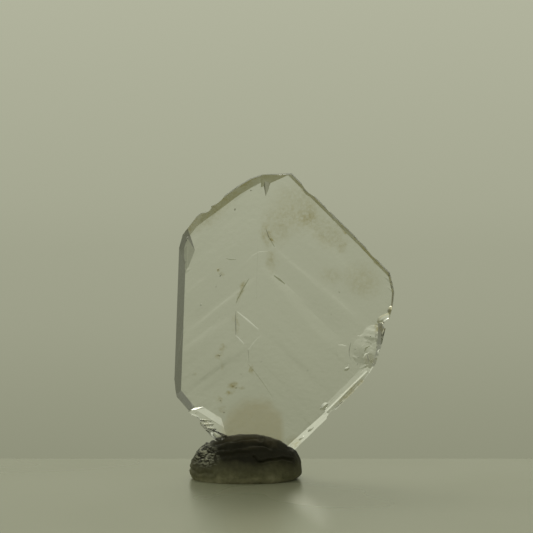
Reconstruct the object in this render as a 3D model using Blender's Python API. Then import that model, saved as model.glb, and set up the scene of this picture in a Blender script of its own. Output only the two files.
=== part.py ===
"""Japan-law twin of quartz, standing in a lump of mounting putty.

Two tabular quartz crystals share one prism face, the plate, and are grown together along an upright seam
with their main axes 84.55 degrees apart. Their top edges are chisel edges square to each main axis, their
outer sides are termination faces parallel to the seam, and their lower edges are prism faces parallel to
each main axis. The foot is broken off and sits in a pocket of the putty.

The plate lies in the XZ plane, its front faces -Y, and +Z is up. The origin is on the surface that the putty
rests on, below the middle of the whole. Shapes are laid out in millimetres and built in metres.
"""

from math import cos, exp, radians, sin, tau

import bmesh
import bpy
from mathutils import Matrix, Vector, noise

MM = 0.001
CUT_DISTANCE = 1e-8  # metres within which a corner counts as lying on a cut
OBJECT_NAME = "Japan Law Twin Quartz"

# The plate. The right crystal is a little thinner, so a low step marks the seam on both faces.
LEFT_FRONT, LEFT_BACK = -1.20, 1.20
RIGHT_FRONT, RIGHT_BACK = -1.14, 1.15
ROLL = 2.5  # degrees that the twin leans to the right
HALF_TWIN_ANGLE = 42.27  # between the seam and each main axis
SEAM_FOOT, SEAM_TOP = (-3.62, 0.0), (-2.72, 35.2)
FOOT_HEIGHT = 1.6  # where the crystal is broken off, inside the putty
FOOT_FACING = (0.10, -0.06, -1.0)
FOOT_STEP = 0.05  # how much lower the left crystal ends
BLANK_SIZE = 80.0

# Bevel of an outline edge: the face's tilt from the plate's normal in degrees, and how deep the face reaches,
# first at the front and then at the back. What they leave of the thickness is two steep faces with a ridge.
TERMINATION = (66.9, 2.02, 66.9, 0.38)
CORNER = (60.0, 1.25, 52.0, 0.40)
CHISEL = (38.2, 0.72, 38.2, 0.14)
CHISEL_LOW = (38.2, 0.66, 38.2, 0.12)
CHISEL_RIGHT = (38.2, 0.33, 38.2, 0.12)
TOP = (38.2, 0.10, 38.2, 0.14)
PRISM_LEFT = (60.0, 0.70, 60.0, 0.14)
PRISM_RIGHT = (60.0, 0.22, 60.0, 0.14)
BROKEN = (62.0, 0.60, 58.0, 0.14)
STEEP_TILT = 84.0
LEAST_STEEP_HEIGHT = 0.02

# Outline corners as (x, z), clockwise seen from the front, each with the bevel of the edge that leaves it.
LEFT_OUTLINE = (
    ((-6.30, 2.46), PRISM_LEFT),
    ((-12.35, 9.25), CORNER),
    ((-12.62, 11.17), TERMINATION),
    ((-12.04, 26.55), TERMINATION),
    ((-11.60, 28.13), CORNER),
    ((-10.02, 30.21), CHISEL),
    ((-5.49, 33.56), CHISEL),
    ((-3.81, 34.55), CHISEL_LOW),
    ((-2.43, 35.04), TOP),
    ((0.87, 35.14), None),
)
RIGHT_OUTLINE = (
    ((-3.81, 34.48), CHISEL_LOW),
    ((-2.43, 35.01), TOP),
    ((0.87, 35.14), CHISEL_RIGHT),
    ((8.62, 27.46), CHISEL_RIGHT),
    ((12.17, 23.72), BROKEN),
    ((12.66, 21.60), BROKEN),
    ((12.58, 20.42), BROKEN),
    ((12.43, 19.57), BROKEN),
    ((11.08, 14.90), BROKEN),
    ((10.52, 13.17), BROKEN),
    ((9.19, 11.20), PRISM_RIGHT),
    ((0.40, 2.20), None),
)
LEFT_OVERLAP, RIGHT_OVERLAP = 0.12, 1.3  # how far each crystal reaches past the seam

# Facet at the top of the right crystal, and the two grooves between facets. Each line is where a face meets
# the front of the plate, as (start, end, tilt), with its low side on the left of the way from start to end.
TOP_FACET = ((-1.55, 34.06), (0.87, 35.14), 38.2)
SEAM_GROOVE = (((-2.10, 32.47), (-1.42, 34.06), 28.0), ((-2.52, 34.54), (-2.10, 32.47), 58.0))
SIDE_GROOVE = (((-11.35, 23.60), (-10.22, 26.50), 29.0), ((-10.22, 26.50), (-10.75, 28.25), 58.0))

# The cleft where a wedge broke off at the lower left: the two faces of its upper side, a point of its floor
# and the way that the floor faces, its lower side and its right end.
CLEFT = (((-6.99, 6.99), (-9.28, 8.42), 42.0), ((-9.28, 8.42), (-10.60, 8.22), 70.0))
CLEFT_FLOOR = (-9.0, -0.50, 7.6)
CLEFT_FLOOR_FACING = (0.07, 1.0, 0.13)
CLEFT_LOW_SIDE = ((-10.6, 6.35), (-8.4, 5.45), 70.0)
CLEFT_END = ((-7.35, 7.6), (-6.75, 5.8), 84.0)
GROOVE_LID = 2.0  # how far in front of the plate a groove's cutter reaches

# Faces cut along single stretches of the edge, as (name, front, line, ends, depth where it stops or None).
# The lower left corner has two. At the lower right a flange stands out behind a steep step with a gentle face
# over it, and one broad slanted face reaches nearly to the back below. The last two are the rim of the break
# at the right.
CORNER_ENDS = ((-10.25, 8.42), (-13.5, 12.48))
EDGE_FACES = (
    ("corner_inner", LEFT_FRONT, ((-10.25, 8.42), (-11.63, 10.14), 55.0), CORNER_ENDS, None),
    ("corner_outer", LEFT_FRONT, ((-10.43, 8.27), (-11.81, 9.99), 68.0), CORNER_ENDS, None),
    ("gentle_face", RIGHT_FRONT, ((8.55, 12.55), (4.1, 8.1), 11.0), ((9.6, 13.0), (4.95, 8.35)), None),
    ("flange_step", RIGHT_FRONT, ((8.93, 12.2), (4.5, 7.77), 68.0), ((9.9, 12.2), (5.55, 7.15)), -0.35),
    ("broad_face", RIGHT_FRONT, ((5.0, 8.05), (-0.35, 3.25), 60.0), ((5.1, 8.2), (-1.0, 2.0)), None),
    ("rim_high", RIGHT_FRONT, ((10.78, 18.2), (10.5, 15.4), 62.0), ((11.3, 18.0), (11.0, 15.6)), None),
    ("rim_low", RIGHT_FRONT, ((10.62, 15.8), (9.95, 13.0), 58.0), ((11.0, 15.4), (10.4, 13.0)), None),
)

# Growth lines: low ledges square to each main axis, as (distance along the axis from the base point, width,
# height).
LEDGE_BASE = (-3.1, 24.0)
LEDGE_ROOT = 0.25  # how far a ledge reaches into the crystal
LEDGE_SLOPE = 55.0  # how steep its two sides are, in degrees
LEDGE_INSET = 0.10  # how far its ends stay from the bevels
LEDGE_SEAM_GAP = 0.35  # how far from the seam the right crystal's ledges stop
LEFT_FRONT_LEDGES = ((-8.3, 0.7, 0.04), (-5.95, 0.45, 0.04), (-4.6, 0.9, 0.035), (-2.15, 1.85, 0.055),
                     (1.1, 0.5, 0.035), (3.0, 0.3, 0.04), (5.3, 1.4, 0.045))
RIGHT_FRONT_LEDGES = ((-9.0, 0.8, 0.04), (-6.4, 1.3, 0.045), (-3.6, 0.5, 0.04), (-1.2, 2.2, 0.055),
                      (2.5, 0.6, 0.035), (4.1, 0.5, 0.045), (6.2, 1.6, 0.04))
LEFT_BACK_LEDGES = ((-7.1, 1.2, 0.05), (-3.4, 0.8, 0.04), (-0.5, 1.6, 0.05), (3.9, 0.8, 0.035))
RIGHT_BACK_LEDGES = ((-7.7, 0.9, 0.045), (-4.4, 1.9, 0.05), (0.2, 0.9, 0.035), (3.2, 1.6, 0.05))

# Breaks, as (name, centre, radii, turn about Y in degrees, ripple height). Each is a shell-shaped hollow.
BREAKS = (
    ("shell", (10.75, -3.35, 14.9), (6.6, 2.46, 5.4), 12.0, 0.02),
    ("shell_back", (12.4, 3.00, 15.6), (2.6, 2.5, 3.6), -12.0, 0.05),
    ("chip_high", (10.22, -2.20, 16.35), (2.30, 1.30, 2.60), 14.0, 0.03),
    ("chip_mid", (10.05, -2.20, 14.55), (1.60, 1.34, 3.00), -24.0, 0.03),
    ("chip_low", (9.50, -2.40, 13.20), (2.40, 1.34, 1.70), -30.0, 0.03),
    ("chip_rim", (11.10, -0.55, 14.30), (0.60, 0.55, 0.95), 20.0, 0.05),
    ("notch", (12.32, 0.10, 17.98), (1.15, 2.2, 0.74), -20.0, 0.02),
    ("notch_lip", (12.72, -1.50, 19.3), (1.0, 1.15, 0.75), 30.0, 0.02),
    ("notch_smear", (11.55, -1.45, 18.55), (1.15, 0.65, 0.62), -25.0, 0.03),
    ("side_bite", (13.25, 0.40, 20.6), (0.76, 1.6, 0.95), 0.0, 0.03),
    ("side_top", (13.12, -0.90, 22.7), (0.95, 1.5, 0.80), 10.0, 0.02),
    ("low_bite", (11.95, 0.90, 13.4), (0.98, 1.7, 1.25), -20.0, 0.03),
    ("edge_scar", (8.35, -2.05, 9.75), (2.1, 1.45, 0.72), -46.0, 0.03),
    ("edge_step", (5.72, -0.20, 7.22), (0.95, 2.2, 0.62), -45.0, 0.02),
    ("edge_chip", (4.62, -1.62, 8.48), (0.72, 0.80, 0.40), -44.0, 0.02),
    ("small_chip", (7.20, -1.42, 12.8), (0.40, 0.50, 0.22), -36.0, 0.0),
    ("edge_low", (4.05, -0.40, 5.48), (1.15, 1.25, 0.45), -44.0, 0.02),
    ("edge_foot", (2.35, -1.30, 4.30), (0.70, 0.70, 0.48), -46.0, 0.02),
    ("band_high", (3.14, -0.42, 5.66), (0.46, 0.36, 0.30), -44.0, 0.0),
    ("band_low", (2.10, -0.30, 4.64), (0.42, 0.30, 0.24), -30.0, 0.0),
    ("left_step", (-10.35, 0.75, 6.75), (1.00, 1.80, 0.66), 34.0, 0.03),
    ("left_chip", (-9.35, -0.30, 4.95), (0.72, 1.60, 0.62), 52.0, 0.02),
    ("left_foot", (-7.75, -1.40, 5.10), (0.85, 0.75, 0.60), 50.0, 0.02),
    ("corner_chip", (-11.25, -0.90, 8.15), (0.75, 0.80, 0.36), 42.0, 0.02),
    ("tread_high", (-9.05, -0.38, 6.75), (0.80, 0.45, 0.16), 4.0, 0.0),
    ("tread_mid", (-8.80, -0.34, 6.25), (0.75, 0.45, 0.15), -3.0, 0.0),
    ("tread_low", (-8.40, -0.30, 5.80), (0.65, 0.45, 0.17), 6.0, 0.0),
    ("nick_left", (-9.12, 0.0, 31.07), (0.85, 9.0, 0.45), -16.0, 0.01),
    ("step_left", (-7.81, 0.0, 32.01), (1.10, 9.0, 0.35), -33.0, 0.01),
    ("nick_right", (3.13, 0.0, 33.31), (1.31, 9.0, 0.50), 40.0, 0.01),
    ("nick_middle", (5.24, 0.0, 31.09), (0.54, 9.0, 0.30), 45.0, 0.01),
    ("nick_turn", (8.81, 0.0, 27.58), (0.59, 9.0, 0.30), 45.0, 0.01),
    ("lap_high", (2.92, -1.42, 33.32), (1.05, 0.62, 0.80), 46.0, 0.0),
    ("lap_low", (5.97, -1.42, 30.29), (0.90, 0.58, 0.70), 45.0, 0.0),
    ("nick_low", (10.30, 0.0, 26.12), (1.34, 9.0, 0.45), 46.0, 0.01),
)
RIPPLES_PER_MM = 1.5
RIPPLE_SWEEP = 2.0  # how much the rings curve from one side of a hollow to the other
ROUGHNESS, ROUGHNESS_GRAIN = 1.6, 2.3  # as a share of the ripple height, and lumps across a hollow
BROAD_BREAK = 2.0  # hollows wider than this are made of smaller faces

# The putty lump.
LUMP_CENTRE = (-4.36, 0.0)
LUMP_HALF_WIDTH, LUMP_HALF_DEPTH = 6.50, 4.75
LUMP_GIRTH_HEIGHT = 0.85  # the height where it is widest
LUMP_TOP = 5.05
LUMP_BELOW_LEFT, LUMP_BELOW_RIGHT = 2.6, 1.35  # how far the shape goes below the girth before it is cut flat
LUMP_SWELL_LEFT, LUMP_SWELL_RIGHT = 2.05, 2.25  # 2 is an ellipsoid, and more is fuller
LUMP_DETAIL = 5
LUMP_FLAT_UNDERSIDE = -0.99  # a face that looks further down than this is the flat underside
LUMP_UNEVENNESS = ((0.16, 0.45), (0.05, 1.3))  # height of the bumps, and bumps per mm
POCKET_GAP = 0.3
CREASE_WIDTH = 0.30
CREASE_FRONT = 0.35  # how far back they stay whole, as a share of the lump's half depth
CREASE_AT_BACK = 0.4  # what is left of them behind that
# Creases of the folded putty, as (x, z) at the front from left to right, and how deep each one is.
CREASES = (
    (((-11.4, 1.25), (-9.9, 1.05), (-8.2, 1.20)), 0.14),
    (((-9.6, 2.7), (-8.1, 3.55), (-6.2, 4.0), (-3.6, 4.25)), 0.20),
    (((-8.6, 3.9), (-6.6, 4.45), (-4.6, 4.75)), 0.12),
    (((-3.2, 2.75), (-1.8, 2.55), (-0.2, 2.75)), 0.16),
)


def clear_scene():
    for item in list(bpy.data.objects):
        bpy.data.objects.remove(item)


def new_collection(name):
    collection = bpy.data.collections.new(name)
    bpy.context.scene.collection.children.link(collection)
    return collection


def new_object(name, bm, collection):
    mesh = bpy.data.meshes.new(name)
    bm.to_mesh(mesh)
    bm.free()
    item = bpy.data.objects.new(name, mesh)
    collection.objects.link(item)
    return item


def as_cutter(item):
    item.hide_render = True
    item.display_type = "WIRE"
    return item


def new_material(name, colour, roughness, transmission=0.0, ior=1.5):
    material = bpy.data.materials.new(name)
    material.use_nodes = True
    shader = material.node_tree.nodes["Principled BSDF"]
    shader.inputs["Base Color"].default_value = (*colour, 1.0)
    shader.inputs["Roughness"].default_value = roughness
    shader.inputs["Transmission Weight"].default_value = transmission
    shader.inputs["IOR"].default_value = ior
    material.diffuse_color = (*colour, 1.0)
    return material


def face_plane(start, end, tilt, y, side):
    """Plane through the line start-end at depth y. It faces left of its way, to front (-1) or back (1)."""
    along = Vector((end[0] - start[0], 0.0, end[1] - start[1])).normalized()
    outward = Vector((-along.z, 0.0, along.x))
    normal = outward * sin(radians(tilt)) + Vector((0.0, side * cos(radians(tilt)), 0.0))
    return Vector((start[0], y, start[1])), normal


def flipped(plane):
    return plane[0], -plane[1]


def seam_plane(reach, side):
    """The seam, moved by reach to the side that it faces: 1 is right and -1 is left."""
    foot, top = (Vector((point[0], 0.0, point[1])) for point in (SEAM_FOOT, SEAM_TOP))
    up = (top - foot).normalized()
    normal = Vector((up.z, 0.0, -up.x)) * side
    return foot + normal * reach, normal


def plate_planes(front, back):
    return [(Vector((0, front, 0)), Vector((0, -1, 0))), (Vector((0, back, 0)), Vector((0, 1, 0)))]


def bevel_planes(outline, front, back):
    """The faces of every outline edge with a bevel: to the front, to the back and any steep ones between."""
    planes = []
    for (start, bevel), (end, _) in zip(outline, outline[1:]):
        if bevel is None:
            continue
        front_tilt, front_depth, back_tilt, back_depth = bevel
        planes.append(face_plane(start, end, front_tilt, front + front_depth, -1))
        planes.append(face_plane(start, end, back_tilt, back - back_depth, 1))
        between = back - front - front_depth - back_depth
        if between > LEAST_STEEP_HEIGHT:
            ridge = front + front_depth + between / 2
            planes += [face_plane(start, end, STEEP_TILT, ridge, side) for side in (-1, 1)]
    return planes


def cut_flat(bm, point, normal):
    """Remove what lies on the side of a plane that its normal points to, and close the cut with a face."""
    cut = bmesh.ops.bisect_plane(
        bm,
        geom=list(bm.verts) + list(bm.edges) + list(bm.faces),
        dist=CUT_DISTANCE,
        plane_co=point * MM,
        plane_no=normal,
        clear_outer=True,
    )
    rim = [part for part in cut["geom_cut"] if isinstance(part, bmesh.types.BMEdge)]
    if rim:
        bmesh.ops.contextual_create(bm, geom=rim)


def trimmed_block(planes, grow=0.0):
    """A block trimmed by planes, each first moved outward by grow. What is left is a closed convex solid."""
    bm = bmesh.new()
    bmesh.ops.create_cube(bm, size=BLANK_SIZE * MM)
    for point, normal in planes:
        cut_flat(bm, point + normal * grow, normal)
    bmesh.ops.recalc_face_normals(bm, faces=bm.faces)
    return bm


def left_planes():
    planes = plate_planes(LEFT_FRONT, LEFT_BACK) + bevel_planes(LEFT_OUTLINE, LEFT_FRONT, LEFT_BACK)
    return planes + [seam_plane(LEFT_OVERLAP, 1)]


def right_planes():
    planes = plate_planes(RIGHT_FRONT, RIGHT_BACK) + bevel_planes(RIGHT_OUTLINE, RIGHT_FRONT, RIGHT_BACK)
    start, end, tilt = TOP_FACET
    planes.append(face_plane(start, end, tilt, RIGHT_FRONT, -1))
    return planes + [seam_plane(RIGHT_OVERLAP, -1)]


def foot_plane(height=FOOT_HEIGHT):
    return Vector((0, 0, height)), Vector(FOOT_FACING).normalized()


def ledge(planes, axis, ledge_spec, surface, side):
    """One growth line: the crystal's outline, drawn in and cut to a strip that stands off the surface."""
    distance, width, height = ledge_spec
    base = Vector((LEDGE_BASE[0], surface, LEDGE_BASE[1])) + axis * distance
    slope = radians(LEDGE_SLOPE)
    lean = Vector((0, side * sin(slope), 0))
    strip = [
        (base + axis * width, axis * cos(slope) + lean),
        (base, -axis * cos(slope) + lean),
        (base + Vector((0, side * height, 0)), Vector((0, side, 0))),
        (base - Vector((0, side * LEDGE_ROOT, 0)), Vector((0, -side, 0))),
    ]
    inset = [(point - normal * LEDGE_INSET, normal) for point, normal in planes]
    return trimmed_block(inset + strip)


def add_ledges(collection):
    lean = radians(ROLL)
    half = radians(HALF_TWIN_ANGLE)
    left_axis = Vector((-sin(half - lean), 0, cos(half - lean)))
    right_axis = Vector((sin(half + lean), 0, cos(half + lean)))
    left = bevel_planes(LEFT_OUTLINE, LEFT_FRONT, LEFT_BACK)
    left += [seam_plane(0.0, 1), foot_plane()]
    right = bevel_planes(RIGHT_OUTLINE, RIGHT_FRONT, RIGHT_BACK)
    right += [seam_plane(-LEDGE_SEAM_GAP, -1), foot_plane()]
    start, end, tilt = TOP_FACET
    right.append(face_plane(start, end, tilt, RIGHT_FRONT, -1))
    groups = (
        ("left_front", left, left_axis, LEFT_FRONT_LEDGES, LEFT_FRONT, -1),
        ("right_front", right, right_axis, RIGHT_FRONT_LEDGES, RIGHT_FRONT, -1),
        ("left_back", left, left_axis, LEFT_BACK_LEDGES, LEFT_BACK, 1),
        ("right_back", right, right_axis, RIGHT_BACK_LEDGES, RIGHT_BACK, 1),
    )
    for name, planes, axis, specs, surface, side in groups:
        for number, spec in enumerate(specs):
            bm = ledge(planes, axis, spec, surface, side)
            as_cutter(new_object(f"ledge_{name}_{number}", bm, collection))


def add_breaks(collection):
    """Shell-shaped hollows: stretched balls with the low rings that quartz breaks with."""
    for name, centre, radii, turn, ripple in BREAKS:
        bm = bmesh.new()
        size = max(radii)
        bmesh.ops.create_icosphere(bm, subdivisions=4 if size > BROAD_BREAK else 3, radius=1.0)
        for vert in bm.verts:
            ring = cos(vert.co.z * size * RIPPLES_PER_MM * tau + RIPPLE_SWEEP * vert.co.x)
            rough = noise.noise(vert.co * ROUGHNESS_GRAIN + Vector(centre))
            vert.co *= 1.0 + ripple * (ring + ROUGHNESS * rough) / size
            vert.co = Vector(co * radius for co, radius in zip(vert.co, radii))
        for face in bm.faces:
            face.smooth = True
        turned = Matrix.Rotation(radians(turn), 4, "Y") @ Matrix.Scale(MM, 4)
        bm.transform(Matrix.Translation(Vector(centre) * MM) @ turned)
        as_cutter(new_object(f"break_{name}", bm, collection))


def groove_cutter(lines, front, more=()):
    """The wedge above two faces that meet in a valley, trimmed by any more planes."""
    planes = [flipped(face_plane(start, end, tilt, front, -1)) for start, end, tilt in lines]
    lid = (Vector((0, front - GROOVE_LID, 0)), Vector((0, -1, 0)))
    return trimmed_block(planes + [lid, *more])


def cleft_cutter():
    """The wedge that broke off at the lower left, with its floor and its lower side."""
    floor = (Vector(CLEFT_FLOOR), Vector(CLEFT_FLOOR_FACING).normalized())
    low_side = flipped(face_plane(*CLEFT_LOW_SIDE, LEFT_FRONT, -1))
    end = face_plane(*CLEFT_END, LEFT_FRONT, 1)
    return groove_cutter(CLEFT, LEFT_FRONT, (floor, low_side, end))


def end_planes(ends):
    """Two planes that keep what lies between two points."""
    start, end = (Vector((x, 0.0, z)) for x, z in ends)
    along = (end - start).normalized()
    return [(start, -along), (end, along)]


def edge_cutter(front, line, ends, back):
    """What lies outside a face along an edge, between two ends and in front of any given depth."""
    planes = [flipped(face_plane(*line, front, -1)), *end_planes(ends)]
    if back is not None:
        planes.append((Vector((0, back, 0)), Vector((0, 1, 0))))
    return trimmed_block(planes)


def boolean(item, name, operation, operand):
    modifier = item.modifiers.new(name, "BOOLEAN")
    modifier.operation = operation
    modifier.solver = "EXACT"
    if isinstance(operand, bpy.types.Collection):
        modifier.operand_type = "COLLECTION"
        modifier.collection = operand
    else:
        modifier.object = operand


def build_crystal(parts, tools):
    crystal = new_object("twin_crystal", trimmed_block(left_planes() + [foot_plane()]), parts)
    grown = bpy.data.collections.new("Growth")
    cuts = bpy.data.collections.new("Breaks")
    tools.children.link(grown)
    tools.children.link(cuts)
    right = trimmed_block(right_planes() + [foot_plane(FOOT_HEIGHT + FOOT_STEP)])
    as_cutter(new_object("right_individual", right, grown))
    add_ledges(grown)
    as_cutter(new_object("seam_groove", groove_cutter(SEAM_GROOVE, LEFT_FRONT), cuts))
    as_cutter(new_object("side_groove", groove_cutter(SIDE_GROOVE, LEFT_FRONT), cuts))
    as_cutter(new_object("cleft", cleft_cutter(), cuts))
    for name, front, line, ends, back in EDGE_FACES:
        as_cutter(new_object(name, edge_cutter(front, line, ends, back), cuts))
    add_breaks(cuts)
    boolean(crystal, "Grown together", "UNION", grown)
    boolean(crystal, "Broken away", "DIFFERENCE", cuts)
    crystal.data.materials.append(new_material("Clear Quartz", (0.93, 0.94, 0.88), 0.03, 1.0, 1.544))
    return crystal


def crease_depth(point):
    """How deep the creases are at a point of the lump's front, in millimetres."""
    total = 0.0
    for corners, depth in CREASES:
        nearest = min(segment_distance(point, a, b) for a, b in zip(corners, corners[1:]))
        total += depth * exp(-((nearest / CREASE_WIDTH) ** 2))
    return total


def segment_distance(point, start, end):
    along = Vector(end) - Vector(start)
    offset = Vector(point) - Vector(start)
    share = min(1.0, max(0.0, offset.dot(along) / along.length_squared))
    return (offset - along * share).length


def build_putty(parts, tools):
    bm = bmesh.new()
    bmesh.ops.create_icosphere(bm, subdivisions=LUMP_DETAIL, radius=1.0)
    for vert in bm.verts:
        way = vert.co.copy()
        rightness = (way.x + 1.0) / 2.0
        swell = LUMP_SWELL_LEFT + (LUMP_SWELL_RIGHT - LUMP_SWELL_LEFT) * rightness
        below = LUMP_BELOW_LEFT + (LUMP_BELOW_RIGHT - LUMP_BELOW_LEFT) * rightness
        way *= sum(abs(part) ** swell for part in way) ** (-1.0 / swell)
        rise = LUMP_TOP - LUMP_GIRTH_HEIGHT if way.z > 0 else below
        point = Vector((
            LUMP_CENTRE[0] + way.x * LUMP_HALF_WIDTH,
            LUMP_CENTRE[1] + way.y * LUMP_HALF_DEPTH,
            LUMP_GIRTH_HEIGHT + way.z * rise,
        ))
        dent = crease_depth((point.x, point.z)) * (1.0 if way.y < CREASE_FRONT else CREASE_AT_BACK)
        lumps = sum(height * noise.noise(point * grain) for height, grain in LUMP_UNEVENNESS)
        point += vert.normal * (lumps - dent)
        vert.co = point * MM
    cut_flat(bm, Vector((0, 0, 0)), Vector((0, 0, -1)))
    bmesh.ops.recalc_face_normals(bm, faces=bm.faces)
    for face in bm.faces:
        face.smooth = face.normal.z > LUMP_FLAT_UNDERSIDE
    putty = new_object("mounting_putty", bm, parts)
    left = trimmed_block(left_planes() + [foot_plane()], POCKET_GAP)
    right = trimmed_block(right_planes() + [foot_plane()], POCKET_GAP)
    for name, bm in (("left_pocket", left), ("right_pocket", right)):
        cutter = as_cutter(new_object(name, bm, tools))
        boolean(putty, name.replace("_", " ").capitalize(), "DIFFERENCE", cutter)
    putty.data.materials.append(new_material("Mounting Putty", (0.028, 0.027, 0.016), 0.6))
    return putty


def main():
    clear_scene()
    parts = new_collection(OBJECT_NAME)
    tools = new_collection("Cutters")
    tools.hide_render = True
    build_crystal(parts, tools)
    build_putty(parts, tools)


main()
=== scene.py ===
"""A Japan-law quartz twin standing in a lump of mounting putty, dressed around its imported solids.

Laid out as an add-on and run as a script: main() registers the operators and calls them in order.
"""

from collections import defaultdict
from functools import partial
from math import cos, exp, pi, radians, sin
from random import Random

import bmesh
import bpy
from bpy.props import FloatProperty, FloatVectorProperty, IntProperty, PointerProperty
from mathutils import Matrix, Vector, noise


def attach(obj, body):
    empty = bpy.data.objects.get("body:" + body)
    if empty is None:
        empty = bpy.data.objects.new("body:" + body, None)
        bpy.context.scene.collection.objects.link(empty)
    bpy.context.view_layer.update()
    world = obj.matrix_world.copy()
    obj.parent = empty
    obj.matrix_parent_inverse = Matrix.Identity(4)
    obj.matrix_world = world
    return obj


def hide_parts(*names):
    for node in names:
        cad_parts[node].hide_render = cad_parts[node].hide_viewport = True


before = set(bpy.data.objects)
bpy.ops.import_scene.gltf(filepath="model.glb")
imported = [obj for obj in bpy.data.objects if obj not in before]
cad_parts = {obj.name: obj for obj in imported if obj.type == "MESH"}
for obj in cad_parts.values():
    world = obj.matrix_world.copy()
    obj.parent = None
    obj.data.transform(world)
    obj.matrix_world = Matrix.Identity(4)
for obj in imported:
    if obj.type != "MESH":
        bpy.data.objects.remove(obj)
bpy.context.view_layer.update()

bl_info = {
    "name": "Japan-law quartz twin",
    "version": (1, 0, 0),
    "blender": (4, 5, 0),
    "location": "3D View > Sidebar > Quartz Twin",
    "description": "Builds a clear quartz twin of the Japan law in its mounting putty, and its stage",
    "category": "Add Mesh",
}

MM = 0.001

# The twin's layout on its plate, in millimetres, as the solids have it.
ROLL = 2.5  # degrees that the twin leans to the right
HALF_TWIN_ANGLE = 42.27  # between the seam and each main axis
SEAM_FOOT, SEAM_TOP = (-3.62, 0.0), (-2.72, 35.2)
GROWTH_BASE = (-3.1, 24.0)

# What each face of the quartz is. A bevel is any flat face that is not part of a plate.
BEVEL, LEFT_PLATE, RIGHT_PLATE, BROKEN, SEAM_WALL = range(5)


def linear(hex_colour):
    """An sRGB hex colour as linear red, green and blue."""
    parts = [int(hex_colour[i : i + 2], 16) / 255 for i in (1, 3, 5)]
    return tuple(p / 12.92 if p <= 0.04045 else ((p + 0.055) / 1.055) ** 2.4 for p in parts)


def grey(value):
    return (value, value, value, 1.0)


def colour_property(name, description, hex_colour):
    return FloatVectorProperty(
        name=name, description=description, default=linear(hex_colour), subtype="COLOR"
    )


def length_property(name, description, default):
    return FloatProperty(name=name, description=description, default=default, unit="LENGTH")


class QuartzSettings(bpy.types.PropertyGroup):
    """Sizes and colours of the crystal."""

    band_relief: length_property(
        "Growth band relief", "Height of the broad growth bands on the plate", 0.012 * MM
    )
    line_relief: length_property(
        "Growth line relief", "Height of the narrow growth lines on the plate", 0.0026 * MM
    )
    line_spacing: length_property(
        "Growth line spacing", "Mean distance between two growth lines that are cut into the mesh", 0.22 * MM
    )
    break_relief: length_property(
        "Break relief", "Height of the fine rings and hackles on the shell-shaped breaks", 0.028 * MM
    )
    edge_wear: length_property("Edge wear", "How deep the small chips along the edges go", 0.06 * MM)
    ior: FloatProperty(name="IOR", description="Refraction of quartz", default=1.544)
    polish: FloatProperty(name="Roughness", description="Roughness of a natural growth face", default=0.015)
    clear_colour: colour_property("Clear quartz", "Tint of clean quartz", "#FDFEFB")
    stain_colour: colour_property("Iron stain", "Tint of the iron stains", "#C6B984")
    veil_colour: colour_property("Milky veil", "Tint of the milky patch at the foot", "#EEE8D8")


class PuttySettings(bpy.types.PropertyGroup):
    """Sizes and colours of the putty."""

    detail: IntProperty(name="Detail", description="How often the lump's mesh is divided", default=7)
    fold_depth: length_property("Fold depth", "Depth of the kneaded folds", 0.24 * MM)
    wrinkle_depth: length_property("Wrinkle depth", "Height of the shiny wrinkles", 0.20 * MM)
    dark_colour: colour_property("Top colour", "Colour of the folded top", "#262415")
    # The lower and foot colours are paler than the putty itself: painted bounce light from the floor below,
    # which also lightens the shadow where the lump meets the floor.
    lower_bounce_colour: colour_property("Lower colour", "Colour of the smoother lower part", "#757359")
    foot_bounce_colour: colour_property("Foot colour", "Colour of the lowest rim", "#BCB79B")
    rim_colour: colour_property("Rim colour", "Colour of the rim on top", "#4A4430")
    # The streak colour is painted highlights on the shiny wrinkles.
    highlight_streak_colour: colour_property("Streak colour", "Colour of the shiny wrinkles", "#BFBEAD")


class StageSettings(bpy.types.PropertyGroup):
    """The camera, floor and light."""

    camera_distance: length_property("Camera distance", "From the camera to the middle of the view", 0.300)
    camera_elevation: FloatProperty(
        name="Camera elevation",
        description="How far above level the camera looks from",
        default=radians(4.0),
        subtype="ANGLE",
    )
    floor_colour: colour_property("Floor", "Colour of the floor", "#A9AB96")
    table_colour: colour_property("Table", "Colour of the table under the floor", "#A9AB96")
    lamp_power: FloatProperty(
        name="Softbox power", description="Power of the softbox above and behind", default=0.22, unit="POWER"
    )


def feed(node, inputs):
    """Sets a node's first inputs from a list, or chosen ones from a dict. Outputs of nodes are linked."""
    for socket, value in inputs.items() if isinstance(inputs, dict) else enumerate(inputs):
        if isinstance(value, bpy.types.NodeSocket):
            node.id_data.links.new(value, node.inputs[socket])
        else:
            node.inputs[socket].default_value = value


def add_node(tree, kind, inputs=(), out=0, stops=(), **settings):
    """Adds a shader node and returns one of its outputs, or the node when out is None. stops fill a ramp."""
    made = tree.nodes.new("ShaderNode" + kind)
    for name, value in settings.items():
        setattr(made, name, value)
    feed(made, inputs)
    if stops:
        elements = made.color_ramp.elements
        while len(elements) < len(stops):
            elements.new(1.0)
        for element, (position, colour) in zip(elements, sorted(stops)):
            element.position = position
            element.color = colour
    return made if out is None else made.outputs[out]


def new_material(name):
    """An empty material, the function that adds nodes to it, and its shader."""
    material = bpy.data.materials.new(name)
    material.use_nodes = True
    tree = material.node_tree
    return material, partial(add_node, tree), tree.nodes["Principled BSDF"]


def new_object(name, bm, material):
    """A mesh object in the scene, made from a bmesh that it uses up."""
    mesh = bpy.data.meshes.new(name)
    bm.to_mesh(mesh)
    bm.free()
    mesh.materials.append(material)
    made = bpy.data.objects.new(name, mesh)
    bpy.context.scene.collection.objects.link(made)
    return made


def new_piece(name, bm, material):
    """A piece of the specimen, which rides on its one body."""
    piece = new_object(name, bm, material)
    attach(piece, "root")
    return piece


# ---------------------------------------------------------------------------------------------- quartz

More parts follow.
